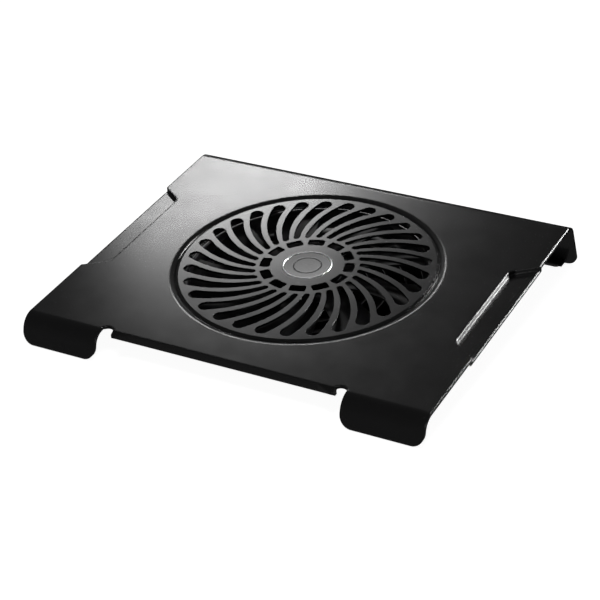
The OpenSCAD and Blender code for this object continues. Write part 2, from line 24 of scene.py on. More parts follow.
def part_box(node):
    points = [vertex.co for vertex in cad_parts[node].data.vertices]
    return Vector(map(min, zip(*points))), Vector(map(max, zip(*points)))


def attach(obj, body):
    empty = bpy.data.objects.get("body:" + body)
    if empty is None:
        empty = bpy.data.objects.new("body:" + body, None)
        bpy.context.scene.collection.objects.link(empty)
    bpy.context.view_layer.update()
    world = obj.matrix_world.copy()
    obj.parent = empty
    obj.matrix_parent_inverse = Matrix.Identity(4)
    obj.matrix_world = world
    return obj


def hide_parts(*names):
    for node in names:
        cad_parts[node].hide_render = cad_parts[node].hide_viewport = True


LOG = logging.getLogger("cooling_pad")
MM = 0.001

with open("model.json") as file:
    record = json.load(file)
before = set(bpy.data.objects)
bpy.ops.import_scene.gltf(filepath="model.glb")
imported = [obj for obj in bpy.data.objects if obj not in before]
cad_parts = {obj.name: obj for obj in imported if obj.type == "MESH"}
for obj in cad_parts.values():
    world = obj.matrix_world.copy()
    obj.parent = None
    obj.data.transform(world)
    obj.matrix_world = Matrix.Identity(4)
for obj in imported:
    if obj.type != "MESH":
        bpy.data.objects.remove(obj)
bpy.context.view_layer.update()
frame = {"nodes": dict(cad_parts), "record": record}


# ---------------------------------------------------------------------------------------
# Node graphs
# ---------------------------------------------------------------------------------------


class Coordinates(Enum):
    """Where a pattern takes its coordinates from."""

    OBJECT = "Object"
    UV = "UV"


class Graph:
    """A small builder for one material's nodes."""

    def __init__(self, name: str) -> None:
        """Starts an empty material with a Principled surface.

        Args:
            name: The material's name.
        """
        self.material = bpy.data.materials.new(name)
        self.material.use_nodes = True
        self.tree = self.material.node_tree
        self.surface = self.tree.nodes["Principled BSDF"]

    def node(self, kind: str, **settings: object) -> bpy.types.Node:
        """Adds a node and sets its properties.

        Args:
            kind: The node's type name.
            **settings: Property names and values.

        Returns:
            The new node.
        """
        made = self.tree.nodes.new(kind)
        for key, value in settings.items():
            setattr(made, key, value)
        return made

    def feed(self, socket: bpy.types.NodeSocket, value: object) -> None:
        """Links a socket's output into an input, or sets the input to a plain value."""
        if isinstance(value, bpy.types.NodeSocket):
            self.tree.links.new(value, socket)
        else:
            socket.default_value = value

    def coordinates(self, kind: Coordinates, stretch: Sequence[float] = (1, 1, 1),
                    centre: Sequence[float] = (0, 0, 0)) -> bpy.types.NodeSocket:
        """Gives pattern coordinates, moved so that centre is the origin and then stretched.

        Args:
            kind: Object coordinates or the piece's own UV map.
            stretch: Scale along each axis.
            centre: The point that becomes the origin.

        Returns:
            A vector socket.
        """
        source = self.node("ShaderNodeTexCoord").outputs[kind.value]
        shifted = self.node("ShaderNodeVectorMath", operation="SUBTRACT")
        self.feed(shifted.inputs[0], source)
        self.feed(shifted.inputs[1], tuple(centre))
        scaled = self.node("ShaderNodeVectorMath", operation="MULTIPLY")
        self.feed(scaled.inputs[0], shifted.outputs[0])
        self.feed(scaled.inputs[1], tuple(stretch))
        return scaled.outputs[0]

    def noise(self, scale: float, detail: float = 2.0, rough: float = 0.5,
              vector: bpy.types.NodeSocket | None = None) -> bpy.types.NodeSocket:
        """Adds fractal noise.

        Args:
            scale: Cells per metre.
            detail: Octaves.
            rough: Weight of the finer octaves.
            vector: Coordinates, or Object coordinates if left out.

        Returns:
            A value socket from 0 to 1.
        """
        made = self.node("ShaderNodeTexNoise")
        self.feed(made.inputs["Vector"], vector or self.coordinates(Coordinates.OBJECT))
        self.feed(made.inputs["Scale"], scale)
        self.feed(made.inputs["Detail"], detail)
        self.feed(made.inputs["Roughness"], rough)
        return made.outputs["Fac"]

    def math(self, operation: str, a: object, b: object = 0.0,
             clamp: bool = False) -> bpy.types.NodeSocket:
        """Adds a Math node.

        Args:
            operation: The node's operation name.
            a: First value or socket.
            b: Second value or socket.
            clamp: Whether the result is kept between 0 and 1.

        Returns:
            A value socket.
        """
        made = self.node("ShaderNodeMath", operation=operation, use_clamp=clamp)
        self.feed(made.inputs[0], a)
        self.feed(made.inputs[1], b)
        return made.outputs[0]

    def span(self, value: bpy.types.NodeSocket, low: float, high: float,
             start: float = 0.0, end: float = 1.0) -> bpy.types.NodeSocket:
        """Maps a value from the range start to end onto the range low to high, clamped."""
        made = self.node("ShaderNodeMapRange")
        self.feed(made.inputs["Value"], value)
        for key, number in (("From Min", start), ("From Max", end), ("To Min", low), ("To Max", high)):
            self.feed(made.inputs[key], number)
        return made.outputs[0]

    def mix(self, amount: object, a: object, b: object) -> bpy.types.NodeSocket:
        """Mixes two colours.

        Args:
            amount: 0 gives a, 1 gives b.
            a: Colour or socket.
            b: Colour or socket.

        Returns:
            A colour socket.
        """
        made = self.node("ShaderNodeMix", data_type="RGBA")
        self.feed(made.inputs["Factor"], amount)
        for key, value in (("A", a), ("B", b)):
            socket = next(s for s in made.inputs if s.name == key and s.type == "RGBA")
            self.feed(socket, value if isinstance(value, bpy.types.NodeSocket) else (*value, 1.0))
        return next(s for s in made.outputs if s.type == "RGBA")

    def edges(self, radius: float) -> bpy.types.NodeSocket:
        """Marks convex and concave edges: 0 on flat ground, towards 1 on an edge.

        The rounded normal of a Bevel node leans away from the true normal near an edge, so
        one minus their dot product is large there.

        Args:
            radius: Reach of the mark, in metres.

        Returns:
            A value socket.
        """
        rounded = self.node("ShaderNodeBevel", samples=4)
        self.feed(rounded.inputs["Radius"], radius)
        lean = self.node("ShaderNodeVectorMath", operation="DOT_PRODUCT")
        self.feed(lean.inputs[0], rounded.outputs[0])
        self.feed(lean.inputs[1], self.node("ShaderNodeNewGeometry").outputs["Normal"])
        return self.span(lean.outputs["Value"], 1.0, 0.0, 0.72, 0.98)

    def round_edges(self, radius: float) -> bpy.types.NodeSocket:
        """Gives the normal that the surface would have if its edges were rounded.

        Args:
            radius: Radius of the rounding, in metres.

        Returns:
            A normal socket.
        """
        rounded = self.node("ShaderNodeBevel", samples=6)
        self.feed(rounded.inputs["Radius"], radius)
        return rounded.outputs[0]

    def bump(self, height: object, depth: float, under: bpy.types.NodeSocket | None = None,
             apply: bool = True) -> bpy.types.NodeSocket:
        """Adds a bump.

        Args:
            height: Height socket from 0 to 1.
            depth: Height of the relief, in metres.
            under: Normal of an earlier bump to build on.
            apply: Whether it is sent to the surface's normal.

        Returns:
            The normal socket.
        """
        made = self.node("ShaderNodeBump")
        self.feed(made.inputs["Height"], height)
        self.feed(made.inputs["Distance"], depth)
        self.feed(made.inputs["Strength"], 1.0)
        if under is not None:
            self.feed(made.inputs["Normal"], under)
        if apply:
            self.feed(self.surface.inputs["Normal"], made.outputs[0])
        return made.outputs[0]


# ---------------------------------------------------------------------------------------
# The deck's own frame
# ---------------------------------------------------------------------------------------


class DeckFrame:
    """The sloping frame of the deck, with its origin on the fan's axis at the top face."""

    def __init__(self, record: dict) -> None:
        """Reads the slope and the fan's axis from the record.

        Args:
            record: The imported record.
        """
        spin = next(j for j in record["behaviour"]["joints"] if j["name"] == "fan_spin")
        face = next(m for m in record["mounts"] if m["name"] == "deck_face")
        self.normal = np.array(spin["axis"], float)
        pivot = np.array(spin["pos_m"], float)
        self.origin = pivot + self.normal * np.dot(np.array(face["pos_m"]) - pivot, self.normal)
        across = np.array([1.0, 0.0, 0.0])
        self.axes = np.stack([across, np.cross(self.normal, across), self.normal])

    def place(self, points: np.ndarray) -> np.ndarray:
        """Moves points from the deck's frame to the object's frame.

        Args:
            points: Rows of x, y, z in metres, square to the deck.

        Returns:
            The same points in the object's frame.
        """
        return self.origin + np.asarray(points, float) @ self.axes

    def local(self, point: Sequence[float]) -> np.ndarray:
        """Gives a point of the object's frame in the deck's frame."""
        return (np.array(point, float) - self.origin) @ self.axes.T


DECK = DeckFrame(frame["record"])


# ---------------------------------------------------------------------------------------
# Finishes
# ---------------------------------------------------------------------------------------

Colour = tuple[float, float, float]


def scaled(colour: Colour, factor: float) -> Colour:
    """Multiplies a colour by a factor."""
    return tuple(channel * factor for channel in colour)


@dataclass(frozen=True)
class MouldedPlastic:
    """Moulded plastic: fine eroded texture, slight colour drift, handled patches, worn edges.

    Attributes:
        name: The material's name.
        colour: Main colour, linear.
        rough: Mean roughness.
        grain: Texture cells per metre.
        depth: Depth of the texture, in metres.
        edge: Radius of the moulding's rounded edges.
        worn: Colour that edges rub towards.
        wear: How much of that colour an edge takes.
        specular: Strength of the plain reflection.
    """

    name: str
    colour: Colour
    rough: float
    grain: float = 2600.0
    depth: float = 0.0000002
    edge: float = 0.0004
    worn: Colour = (0.05, 0.05, 0.052)
    wear: float = 0.3
    specular: float = 0.5

    def build(self) -> bpy.types.Material:
        """Makes the material."""
        g = Graph(self.name)
        drift = g.noise(14.0, 3.0)
        base = g.mix(drift, scaled(self.colour, 0.85), scaled(self.colour, 1.15))
        rubbed = g.math("MULTIPLY", g.edges(0.0005), g.span(g.noise(180.0, 3.0), 0.2, 1.0))
        g.feed(g.surface.inputs["Base Color"],
               g.mix(g.math("MULTIPLY", rubbed, self.wear), base, self.worn))
        handled = g.noise(30.0, 4.0, 0.6)
        g.feed(g.surface.inputs["Roughness"],
               g.span(handled, self.rough * 0.93, self.rough * 1.08, 0.3, 0.7))
        g.feed(g.surface.inputs["Specular IOR Level"], self.specular)
        g.bump(g.noise(self.grain, 2.0), self.depth, g.round_edges(self.edge))
        return g.material


@dataclass(frozen=True)
class Metal:
    """Bare, plated or blackened metal with a drawn or ground grain.

    Attributes:
        name: The material's name.
        colour: Reflectance, linear.
        rough: Mean roughness.
        stretch: Cells of grain per metre along each axis.
        depth: Depth of the grain, in metres.
        tarnish: Colour that patches drift towards.
        edge: Radius of the broken edges.
    """

    name: str
    colour: Colour
    rough: float
    stretch: Sequence[float] = (900.0, 900.0, 900.0)
    depth: float = 0.000002
    tarnish: Colour = (0.25, 0.24, 0.22)
    edge: float = 0.00015

    def build(self) -> bpy.types.Material:
        """Makes the material."""
        g = Graph(self.name)
        grain = g.noise(1.0, 2.0, 0.5, g.coordinates(Coordinates.OBJECT, self.stretch))
        patch = g.span(g.noise(60.0, 4.0), 0.0, 0.3, 0.5, 0.9)
        bright = g.mix(g.math("MULTIPLY", g.edges(0.0002), 0.5), self.colour,
                       tuple(min(1.0, channel * 1.5 + 0.02) for channel in self.colour))
        g.feed(g.surface.inputs["Base Color"], g.mix(patch, bright, self.tarnish))
        g.feed(g.surface.inputs["Metallic"], 1.0)
        g.feed(g.surface.inputs["Roughness"], g.span(grain, self.rough * 0.8, self.rough * 1.25))
        g.bump(grain, self.depth, g.round_edges(self.edge))
        return g.material


@dataclass(frozen=True)
class TurnedMetal:
    """Metal turned on a lathe: fine rings about the fan's axis.

    Attributes:
        name: The material's name.
        colour: Reflectance, linear.
        rough: Mean roughness.
        rings: Rings per metre of radius.
        metallic: Share of metal under the finish.
        depth: Depth of the rings, in metres.
    """

    name: str
    colour: Colour
    rough: float
    rings: float = 2200.0
    metallic: float = 1.0
    depth: float = 0.0000012

    def build(self) -> bpy.types.Material:
        """Makes the material."""
        g = Graph(self.name)
        length = g.node("ShaderNodeVectorMath", operation="LENGTH")
        g.feed(length.inputs[0], g.coordinates(Coordinates.OBJECT, centre=DECK.origin.tolist()))
        rings = g.math("SINE", g.math("MULTIPLY", length.outputs["Value"], self.rings * math.tau))
        uneven = g.noise(400.0, 3.0)
        height = g.math("MULTIPLY", g.math("ADD", rings, 1.0), uneven)
        shade = g.span(uneven, 0.0, 1.0, 0.3, 0.7)
        g.feed(g.surface.inputs["Base Color"],
               g.mix(shade, scaled(self.colour, 0.9), scaled(self.colour, 1.1)))
        g.feed(g.surface.inputs["Metallic"], self.metallic)
        g.feed(g.surface.inputs["Roughness"], g.span(uneven, self.rough * 0.85, self.rough * 1.2))
        g.bump(height, self.depth, g.round_edges(0.0002))
        return g.material


@dataclass(frozen=True)
class Rubber:
    """Matt moulded rubber with dust in its pores and fine cross ribs.

    Attributes:
        name: The material's name.
        colour: Main colour, linear.
        ribs: Ribs per metre along X.
    """

    name: str
    colour: Colour
    ribs: float = 550.0

    def build(self) -> bpy.types.Material:
        """Makes the material."""
        g = Graph(self.name)
        pores = g.noise(1800.0, 3.0, 0.6)
        dust = g.span(g.noise(90.0, 4.0), 0.0, 0.5, 0.45, 0.8)
        g.feed(g.surface.inputs["Base Color"], g.mix(dust, self.colour, (0.045, 0.044, 0.042)))
        g.feed(g.surface.inputs["Roughness"], g.span(pores, 0.7, 0.92))
        along = g.node("ShaderNodeSeparateXYZ")
        g.feed(along.inputs[0], g.coordinates(Coordinates.OBJECT, (self.ribs * math.tau, 1, 1)))
        wave = g.span(g.math("SINE", along.outputs["X"]), 0.0, 1.0, -0.6, 0.6)
        ribbed = g.bump(wave, 0.00012, apply=False)
        g.bump(pores, 0.00002, ribbed)
        return g.material


@dataclass(frozen=True)
class SolderMask:
    """Green board lacquer over fine copper tracks.

    Attributes:
        name: The material's name.
        colour: Lacquer's colour, linear.
        pitch: Tracks per metre.
    """

    name: str
    colour: Colour = (0.012, 0.09, 0.035)
    pitch: float = 420.0

    def build(self) -> bpy.types.Material:
        """Makes the material."""
        g = Graph(self.name)
        cells = g.node("ShaderNodeTexBrick", offset=0.37)
        g.feed(cells.inputs["Vector"], g.coordinates(Coordinates.OBJECT))
        g.feed(cells.inputs["Scale"], self.pitch)
        g.feed(cells.inputs["Mortar Size"], 0.06)
        track = cells.outputs["Fac"]
        fleck = g.span(g.noise(700.0, 2.0), 0.0, 1.0, 0.62, 0.7)
        lit = g.mix(track, self.colour, scaled(self.colour, 2.2))
        g.feed(g.surface.inputs["Base Color"], g.mix(fleck, lit, (0.55, 0.56, 0.55)))
        g.feed(g.surface.inputs["Roughness"], g.span(g.noise(120.0), 0.22, 0.4))
        g.bump(track, 0.00003, g.round_edges(0.0001))
        return g.material


@dataclass(frozen=True)
class Enamel:
    """Coated wire: a clear bright skin over a coloured core, with small scuffs.

    Attributes:
        name: The material's name.
        colour: Core colour, linear.
        metallic: Share of metal.
        rough: Mean roughness.
    """

    name: str
    colour: Colour
    metallic: float = 0.0
    rough: float = 0.35

    def build(self) -> bpy.types.Material:
        """Makes the material."""
        g = Graph(self.name)
        drift = g.noise(260.0, 3.0)
        g.feed(g.surface.inputs["Base Color"],
               g.mix(drift, scaled(self.colour, 0.75), scaled(self.colour, 1.2)))
        g.feed(g.surface.inputs["Metallic"], self.metallic)
        g.feed(g.surface.inputs["Roughness"], g.span(drift, self.rough * 0.8, self.rough * 1.3))
        g.feed(g.surface.inputs["Coat Weight"], 0.4)
        g.feed(g.surface.inputs["Coat Roughness"], 0.15)
        g.bump(g.noise(1500.0, 2.0), 0.000004)
        return g.material


@dataclass(frozen=True)
class Laminations:
    """Stacked electrical steel: thin level sheets seen edge on.

    Attributes:
        name: The material's name.
        pitch: Thickness of one sheet, in metres.
    """

    name: str
    pitch: float = 0.0005

    def build(self) -> bpy.types.Material:
        """Makes the material."""
        g = Graph(self.name)
        height = g.node("ShaderNodeVectorMath", operation="DOT_PRODUCT")
        g.feed(height.inputs[0], g.coordinates(Coordinates.OBJECT, centre=DECK.origin.tolist()))
        g.feed(height.inputs[1], DECK.normal.tolist())
        turns = g.math("MULTIPLY", height.outputs["Value"], math.tau / self.pitch)
        joint = g.span(g.math("SINE", turns), 0.0, 1.0, 0.7, 0.95)
        stain = g.noise(300.0, 3.0)
        steel = g.mix(stain, (0.26, 0.27, 0.29), (0.42, 0.42, 0.42))
        g.feed(g.surface.inputs["Base Color"], g.mix(joint, steel, (0.05, 0.045, 0.04)))
        g.feed(g.surface.inputs["Metallic"], 1.0)
        g.feed(g.surface.inputs["Roughness"], g.span(stain, 0.35, 0.55))
        g.bump(joint, -0.00003)
        return g.material


# ---------------------------------------------------------------------------------------
# Surfaces from arrays
# ---------------------------------------------------------------------------------------


def grid_faces(rows: int, columns: int, wrap_rows: bool, wrap_columns: bool) -> np.ndarray:
    """Joins a grid's neighbours into four-sided faces.

    Args:
        rows: Number of rows of points.
        columns: Number of points in a row.
        wrap_rows: Whether the last row joins the first.
        wrap_columns: Whether the last point of a row joins the first.

    Returns:
        Rows of four point numbers.
    """
    i, j = np.meshgrid(np.arange(rows if wrap_rows else rows - 1),
                       np.arange(columns if wrap_columns else columns - 1), indexing="ij")
    i, j = i.ravel(), j.ravel()
    k, m = (i + 1) % rows, (j + 1) % columns
    return np.stack([i * columns + j, i * columns + m, k * columns + m, k * columns + j], 1)


def make_piece(name: str, points: np.ndarray, faces: Sequence[Sequence[int]], finish: object,
               body: str) -> bpy.types.Object:
    """Turns points and faces into a smooth closed piece that rides on a body.

    Doubled points at poles and seams are merged, and the normals are then made to face out.

    Args:
        name: The piece's name.
        points: Rows of x, y, z in the object's frame, in metres.
        faces: Point numbers of each face.
        finish: A finish with a build method.
        body: The body it moves with.

    Returns:
        The new object.
    """
    mesh = bpy.data.meshes.new(name)
    mesh.from_pydata(np.asarray(points, float).tolist(), [], [list(map(int, f)) for f in faces])
    work = bmesh.new()
    work.from_mesh(mesh)
    bmesh.ops.remove_doubles(work, verts=work.verts, dist=1e-7)
    bmesh.ops.dissolve_degenerate(work, dist=1e-8, edges=work.edges)
    bmesh.ops.recalc_face_normals(work, faces=work.faces)
    work.to_mesh(mesh)
    work.free()
    mesh.polygons.foreach_set("use_smooth", np.ones(len(mesh.polygons), bool))
    mesh.materials.append(finish.build())
    piece = bpy.data.objects.new(name, mesh)
    bpy.context.scene.collection.objects.link(piece)
    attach(piece, body)
    LOG.info("made %s, %d faces, on %s", name, len(mesh.polygons), body)
    return piece


def revolve(profile: Sequence[Sequence[float]], steps: int) -> tuple[np.ndarray, np.ndarray]:
    """Turns a closed profile about the fan's axis.

    A point (r, z) of the profile goes to (r cos a, r sin a, z) for each angle a.

    Args:
        profile: Rows of radius and height in the deck's frame, in metres.
        steps: Number of angles.

    Returns:
        Points in the object's frame, and faces.
    """
    rz = np.asarray(profile, float)
    angle = np.linspace(0, math.tau, steps, endpoint=False)[:, None]
    points = np.stack([rz[:, 0] * np.cos(angle), rz[:, 0] * np.sin(angle),
                       np.broadcast_to(rz[:, 1], (steps, len(rz)))], -1)
    return DECK.place(points.reshape(-1, 3)), grid_faces(steps, len(rz), True, True)


def tube(path: np.ndarray, radius: float, sides: int) -> tuple[np.ndarray, list[list[int]]]:
    """Carries a circle along a path and closes its two ends.

    Each ring lies square to the path's local direction. Its first axis is the part of the
    deck's normal that is square to that direction, or of X where the path runs near the normal.

    Args:
        path: Rows of x, y, z in the object's frame.
        radius: Radius of the circle.
        sides: Points round the circle.

    Returns:
        Points and faces.
    """
    along = np.gradient(path, axis=0)
    along /= np.linalg.norm(along, axis=1, keepdims=True)
    guide = np.where(np.abs(along @ DECK.normal)[:, None] > 0.93, DECK.axes[0], DECK.normal)
    first = guide - (guide * along).sum(1, keepdims=True) * along
    first /= np.linalg.norm(first, axis=1, keepdims=True)
    second = np.cross(along, first)
    angle = np.linspace(0, math.tau, sides, endpoint=False)[None, :, None]
    rings = path[:, None] + radius * (np.cos(angle) * first[:, None] + np.sin(angle) * second[:, None])
    faces = grid_faces(len(path), sides, False, True).tolist()
    last = (len(path) - 1) * sides
    faces += [list(range(sides))[::-1], list(range(last, last + sides))]
    return rings.reshape(-1, 3), faces


def rounded_path(corners: np.ndarray, radius: float, steps: int) -> np.ndarray:
    """Rounds the corners of a broken line with quadratic curves.

    A corner B between A and C gives (1 - t)(1 - t) P + 2 t (1 - t) B + t t Q, where P and Q
    lie on the two runs, at the radius from B or half a run if that is shorter.

    Args:
        corners: Rows of x, y, z.
        radius: Reach of a rounding along each run.
        steps: Points in each rounding.

    Returns:
        Rows of x, y, z.
    """
    before, here, after = corners[:-2], corners[1:-1], corners[2:]

    def toward(other: np.ndarray) -> np.ndarray:
        """Point on the run from here to the other corner."""
        run = other - here
        length = np.linalg.norm(run, axis=1, keepdims=True)
        return here + run * np.minimum(radius / length, 0.49)

    t = np.linspace(0, 1, steps)[None, :, None]
    p, q = toward(before)[:, None], toward(after)[:, None]
    bends = (1 - t) ** 2 * p + 2 * t * (1 - t) * here[:, None] + t ** 2 * q
    return np.vstack([corners[:1], bends.reshape(-1, 3), corners[-1:]])


def even_path(path: np.ndarray, spacing: float) -> np.ndarray:
    """Resamples a path at an even spacing along its length."""
    length = np.concatenate([[0.0], np.cumsum(np.linalg.norm(np.diff(path, axis=0), axis=1))])
    want = np.linspace(0, length[-1], max(4, int(length[-1] / spacing)))
    return np.stack([np.interp(want, length, path[:, k]) for k in range(3)], 1)


# ---------------------------------------------------------------------------------------
# The studio
# ---------------------------------------------------------------------------------------


@dataclass(frozen=True)
class Softbox:
    """One rectangular light that faces the pad.

    Attributes:
        name: The light's name.
        place: Where it stands, in metres.
        width: Width of its face.
        height: Height of its face.
        power: Power in watts.
        aim: The point it faces.
        mirrored: Whether glossy surfaces mirror it.
    """

    name: str
    place: Sequence[float]
    width: float
    height: float
    power: float
    aim: Sequence[float] = (0.0, 0.0, 0.03)
    mirrored: bool = True

    def build(self) -> None:
        """Makes the light."""
        data = bpy.data.lights.new(self.name, "AREA")
        data.shape = "RECTANGLE"
        data.size, data.size_y = self.width, self.height
        data.energy = self.power
        lamp = bpy.data.objects.new(self.name, data)
        bpy.context.scene.collection.objects.link(lamp)
        lamp.location = self.place
        facing = Vector(self.aim) - Vector(self.place)
        lamp.rotation_euler = facing.to_track_quat("-Z", "Y").to_euler()
        lamp.visible_glossy = self.mirrored
        lamp.visible_camera = False


@dataclass(frozen=True)
class Card:
    """One card that only glossy surfaces mirror: a glowing one, or a black one that shades.

    Attributes:
        name: The card's name.
        place: Where it stands, in metres.
        width: Width of its face.
        height: Height of its face.
        glow: Brightness, where 1 is the white of the backdrop.
        aim: The point it faces.
    """

    name: str
    place: Sequence[float]
    width: float
    height: float
    glow: float
    aim: Sequence[float] = (0.0, 0.0, 0.03)

    def build(self) -> None:
        """Makes the card, square to the line from its middle to its aim."""
        turn = np.array((Vector(self.aim) - Vector(self.place)).to_track_quat("-Z", "Y").to_matrix())
        corners = np.array([[-1, -1, 0], [1, -1, 0], [1, 1, 0], [-1, 1, 0]], float)
        corners *= (self.width / 2, self.height / 2, 0)
        mesh = bpy.data.meshes.new(self.name)
        mesh.from_pydata((corners @ turn.T + self.place).tolist(), [], [(0, 1, 2, 3)])
        g = Graph(self.name + "_glow")
        g.feed(g.surface.inputs["Base Color"], (0.0, 0.0, 0.0, 1.0))
        g.feed(g.surface.inputs["Specular IOR Level"], 0.0)
        g.feed(g.surface.inputs["Emission Color"], (1.0, 1.0, 1.0, 1.0))
        g.feed(g.surface.inputs["Emission Strength"], self.glow)
        g.material.cycles.emission_sampling = "NONE"
        mesh.materials.append(g.material)
        card = bpy.data.objects.new(self.name, mesh)
        card.visible_camera = card.visible_diffuse = card.visible_shadow = False
        bpy.context.scene.collection.objects.link(card)


@dataclass
class Studio:
    """Floor, lights, backdrop and camera.

    Attributes:
        azimuth: Camera's bearing from the front, towards +X, in degrees.
        elevation: Camera's height above the level, in degrees.
        roll: Camera's turn about its own line of sight, in degrees.
        distance: Camera's distance from its target.
        target: The point the camera looks at.
        lens: Focal length on a 36 mm frame.
        floor_size: Side of the square floor.
        floor_glow: Brightness that the open floor has by itself.
        painted_shadow_centre: Middle of the painted shadow, a dark patch painted on the floor under the
            fan.
        painted_shadow_reach: Radii between which the painted shadow gives way to the open floor.
        room_light: Brightness of the room, as the pad sees it.
        boxes: The lights.
        cards: The glowing cards.
    """

    azimuth: float = 29.325
    elevation: float = 29.1
    roll: float = -2.032
    distance: float = 1.5974
    target: Sequence[float] = (0.01182, -0.03748, 0.02498)
    lens: float = 108.21
    floor_size: float = 12.0
    floor_glow: float = 0.95
    # Painted shadow under the fan: its middle, and the radii where it fades into the open floor.
    painted_shadow_centre: Sequence[float] = (-0.012, 0.022, 0.0)
    painted_shadow_reach: Sequence[float] = (0.115, 0.156)
    room_light: float = 0.085
    boxes: Sequence[Softbox] = field(default_factory=lambda: (
        Softbox("long_strip", (-2.154, 3.0, 2.415), 0.707, 0.03, 6.5),
        Softbox("long_glow", (-1.812, 3.0, 1.985), 0.821, 0.118, 6.8),
        Softbox("overhead", (0.1, -0.3, 1.6), 0.8, 0.8, 6.0, mirrored=False),
    ))
    cards: Sequence[Card] = field(default_factory=lambda: (
        Card("edge_card", (1.25, 1.99, 1.1), 0.9, 0.9, 62.0),
        Card("horizon_card", (-1.5, 2.82, 0.3), 2.4, 0.6, 1.0),
        Card("front_card", (1.6, -1.9, 1.3), 1.0, 1.0, 3.8),
        Card("back_flag", (0.0, 0.2, 0.031), 0.44, 0.062, 0.0, (0.0, 0.0, 0.031)),
    ))

    def camera(self) -> None:
        """Places the camera: it looks down at the target from its bearing and height."""
        az, el, roll = (math.radians(a) for a in (self.azimuth, self.elevation, self.roll))
        back = Vector((math.sin(az) * math.cos(el), -math.cos(az) * math.cos(el), math.sin(el)))
        right = Vector((math.cos(az), math.sin(az), 0.0))
        up = back.cross(right)
        level = Matrix((right, up, back)).transposed()
        turned = level @ Matrix.Rotation(roll, 3, "Z")
        data = bpy.data.cameras.new("camera")
        data.sensor_width = 36.0
        data.lens = self.lens
        eye = bpy.data.objects.new("camera", data)
        bpy.context.scene.collection.objects.link(eye)
        eye.matrix_world = Matrix.Translation(Vector(self.target) + back * self.distance) @ turned.to_4x4()
        bpy.context.scene.camera = eye

    def floor(self) -> None:
        """Lays a plain pale floor that glows a little, with a painted shadow under the fan.

        The glow keeps the floor white and the pad's real shadow faint. The painted shadow is a dark
        patch of base colour and glow that stands in for the deep shade under the pad; it fades out
        inside the pad's outline, so the fan's depth reads dark through the slots.
        """
        half = self.floor_size / 2
        mesh = bpy.data.meshes.new("floor")
        corners = [(-half, -half, 0), (half, -half, 0), (half, half, 0), (-half, half, 0)]
        mesh.from_pydata(corners, [], [(0, 1, 2, 3)])
        g = Graph("floor_paper")
        # Painted shadow: round its middle the base colour goes to near black and the glow to nothing,
        # fading out to the open floor.
        reach = g.node("ShaderNodeVectorMath", operation="LENGTH")
        g.feed(reach.inputs[0], g.coordinates(Coordinates.OBJECT, (1, 1, 0), self.painted_shadow_centre))
        open_floor = g.span(reach.outputs["Value"], 0.0, 1.0, *self.painted_shadow_reach)
        open_floor.node.interpolation_type = "SMOOTHSTEP"
        g.feed(g.surface.inputs["Base Color"], g.mix(open_floor, (0.004,) * 3, (0.55,) * 3))
        g.feed(g.surface.inputs["Emission Color"], (1.0, 1.0, 1.0, 1.0))
        g.feed(g.surface.inputs["Emission Strength"], g.math("MULTIPLY", open_floor, self.floor_glow))
        g.feed(g.surface.inputs["Roughness"], 0.9)
        g.feed(g.surface.inputs["Specular IOR Level"], 0.0)
        mesh.materials.append(g.material)
        sheet = bpy.data.objects.new("floor", mesh)
        sheet.location.z = -0.0003
        sheet.visible_glossy = False
        bpy.context.scene.collection.objects.link(sheet)

    def backdrop(self) -> None:
        """Hangs a white backdrop behind the pad, and lights the room evenly and dimly."""
        world = bpy.data.worlds.new("room")
        world.use_nodes = True
        tree = world.node_tree
        ground = tree.nodes["Background"]
        path = tree.nodes.new("ShaderNodeLightPath")
        level = tree.nodes.new("ShaderNodeMapRange")
        level.inputs["To Min"].default_value = self.room_light
        level.inputs["To Max"].default_value = 1.0
        tree.links.new(path.outputs["Is Camera Ray"], level.inputs["Value"])
        tree.links.new(level.outputs[0], ground.inputs["Strength"])
        ground.inputs["Color"].default_value = (1.0, 1.0, 1.0, 1.0)
        bpy.context.scene.world = world

    def build(self) -> None:
        """Sets up the whole studio."""
        bpy.context.scene.view_settings.view_transform = "Standard"
        self.camera()
        self.floor()
        self.backdrop()
        for light in (*self.boxes, *self.cards):
            light.build()
        LOG.info("studio ready, %d lights and %d cards", len(self.boxes), len(self.cards))


# ---------------------------------------------------------------------------------------
# Sub-assemblies
# ---------------------------------------------------------------------------------------


def dress(names: Sequence[str], finish: object) -> None:
    """Gives frame nodes a finish. Their meshes and normals stay as they came.

    Args:
        names: The nodes.
        finish: A finish with a build method.
    """
    material = finish.build()
    for name in names:
        node = frame["nodes"][name]
        node.data.materials.clear()
        node.data.materials.append(material)
        LOG.info("dressed %s in %s", name, finish.name)


@dataclass
class Deck:
    """The one-piece deck with its legs, lip and grips.

    Attributes:
        colour: Black of the moulding.
        rough: Roughness of its satin.
        edge: Radius of its rounded edges.
    """

    colour: Colour = (0.0055, 0.0055, 0.0057)
    rough: float = 0.18
    edge: float = 0.0022

    def dress(self) -> None:
        """Finishes the deck."""
        dress(["top_panel"], MouldedPlastic("deck_satin", self.colour, self.rough, edge=self.edge))


@dataclass
class Grille:
    """The round grille and its hidden screws.

    Attributes:
        colour: Black of the moulding.
        rough: Roughness of its satin.
        edge: Radius of the slots' rounded edges.
    """

    colour: Colour = (0.0055, 0.0055, 0.0057)
    rough: float = 0.18
    edge: float = 0.00025

    def dress(self) -> None:
        """Finishes the grille."""
        dress(["fan_grille"], MouldedPlastic("grille_satin", self.colour, self.rough, edge=self.edge))
        dress(["grille_screws"], Metal("screw_black_small", (0.03, 0.03, 0.03), 0.35))


